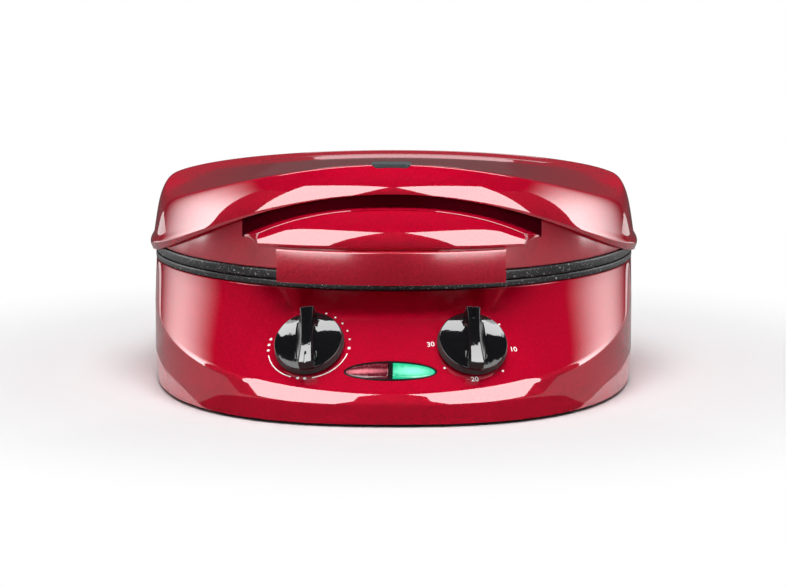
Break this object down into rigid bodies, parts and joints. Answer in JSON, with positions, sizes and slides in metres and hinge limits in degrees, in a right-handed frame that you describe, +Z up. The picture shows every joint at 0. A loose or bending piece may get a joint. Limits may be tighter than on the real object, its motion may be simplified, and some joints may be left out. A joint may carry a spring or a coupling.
{
  "type": "electric pie maker",
  "caption": "Round countertop pie and pizza cooker with a hinged domed lid, a crescent handle, facing baking plates, a thermostat dial, a timer dial and an eye-shaped indicator.",
  "frame": {"origin": "centre of the bounding box of the closed cooker, at the height of the table that its feet stand on", "axes": "+X to the right of someone who faces the dials, +Y to the hinge at the rear, +Z up; the pan axis stands at X 0, Y 0.01775"},
  "size_m": [0.3628, 0.4404, 0.1785],
  "materials": {
    "lacquer": "deep red metallic lacquer under a clear gloss",
    "coating": "black stone-effect non-stick coating with pale specks",
    "gloss_black": "high gloss",
    "dull_black": "fine matt texture",
    "rubber": "matt",
    "red_lens": "clear red, polished",
    "green_lens": "clear green, polished",
    "steel": "zinc plated",
    "sheet": "mill finish",
    "ceramic": "unglazed",
    "lamp_glass": "clear",
    "element": "oxidised sheath"
  },
  "bodies": {
    "base": {"base_housing": "lacquer", "bottom_cover": "dull_black", "foot_front_left": "rubber", "foot_front_right": "rubber", "foot_rear_left": "rubber", "foot_rear_right": "rubber", "cover_screw_front_left": "steel", "cover_screw_front_right": "steel", "cover_screw_rear_left": "steel", "cover_screw_rear_right": "steel", "lower_plate": "coating", "lower_plate_screw_front_left": "steel", "lower_plate_screw_front_right": "steel", "lower_plate_screw_rear_left": "steel", "lower_plate_screw_rear_right": "steel", "lower_heating_element": "element", "lower_heat_reflector": "sheet", "thermal_fuse": "ceramic", "thermostat_body": "ceramic", "thermostat_nut": "steel", "thermostat_sensor": "steel", "timer_body": "steel", "timer_nut": "steel", "lens_frame": "dull_black", "red_lens": "red_lens", "green_lens": "green_lens", "red_lamp": "lamp_glass", "green_lamp": "lamp_glass", "lamp_holder": "dull_black", "terminal_block": "ceramic", "cord_grommet": "dull_black", "base_hinge_bracket": "lacquer", "base_hinge_screw_left": "steel", "base_hinge_screw_right": "steel", "hinge_pin": "steel"},
    "lid": {"lid_housing": "lacquer", "lid_skirt": "lacquer", "lid_screw_front_left": "steel", "lid_screw_front_right": "steel", "lid_screw_rear_left": "steel", "lid_screw_rear_right": "steel", "handle_upper": "lacquer", "handle_front": "lacquer", "handle_plate_screw_left": "steel", "handle_plate_screw_right": "steel", "handle_screw_left": "steel", "handle_screw_right": "steel", "rest_pad": "rubber", "upper_plate": "coating", "upper_heating_element": "element", "upper_heat_reflector": "sheet", "lid_hinge_knuckle": "lacquer", "lid_hinge_screw_left": "steel", "lid_hinge_screw_right": "steel"},
    "thermostat_dial": {"thermostat_knob": "gloss_black", "thermostat_shaft": "steel"},
    "timer_dial": {"timer_knob": "gloss_black", "timer_shaft": "steel"}
  },
  "joints": [
    {"name": "lid_hinge", "type": "hinge", "parent": "base", "child": "lid", "pos_m": [0, 0.21275, 0.08955], "axis": [-1, 0, 0], "range_deg": [0, 180]},
    {"name": "thermostat_turn", "type": "hinge", "parent": "base", "child": "thermostat_dial", "pos_m": [-0.0567, -0.1857, 0.0517], "axis": [0.1836, 0.693, -0.6972], "range_deg": [0, 280]},
    {"name": "timer_turn", "type": "hinge", "parent": "base", "child": "timer_dial", "pos_m": [0.0567, -0.1857, 0.0517], "axis": [-0.1836, 0.693, -0.6972], "range_deg": [0, 270]}
  ]
}
